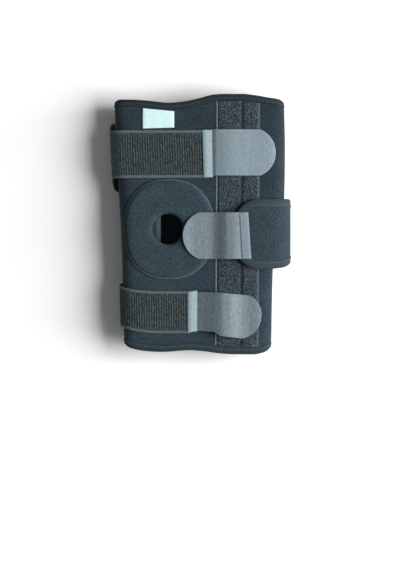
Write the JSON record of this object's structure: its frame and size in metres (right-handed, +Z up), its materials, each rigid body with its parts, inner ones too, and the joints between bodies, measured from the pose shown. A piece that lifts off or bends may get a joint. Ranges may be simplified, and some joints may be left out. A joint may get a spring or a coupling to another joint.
{
  "type": "patellar knee brace",
  "caption": "Open-patella neoprene knee brace lying on its back: wrapped sleeve with bound edges, padded kneecap ring, loop strip, elastic straps with hook tabs and a middle closing wing.",
  "frame": {"origin": "middle of the footprint, on the surface that the back of the brace lies on", "axes": "+Z up off that surface and out of the front, +Y from the calf end to the thigh end, +X to the right of someone who looks at the front"},
  "size_m": [0.1978, 0.2818, 0.0529],
  "materials": {
    "neoprene": "dark slate knitted jersey over neoprene",
    "binding": "dark woven edge tape, stitched",
    "pad": "dark slate jersey over a soft pad",
    "loop_pile": "dark looped pile",
    "elastic": "ribbed woven elastic",
    "hook_tab": "grey woven backing of hook tape, satin",
    "label": "plain white satin"
  },
  "bodies": {
    "root": {"sleeve_wrap": "neoprene", "top_binding": "binding", "bottom_binding": "binding", "patella_pad": "pad", "loop_strip": "loop_pile", "label": "label", "upper_strap": "elastic", "upper_tab": "hook_tab", "lower_strap": "elastic", "lower_tab": "hook_tab", "middle_wing": "neoprene", "wing_binding": "binding", "middle_tab": "hook_tab"}
  },
  "joints": []
}
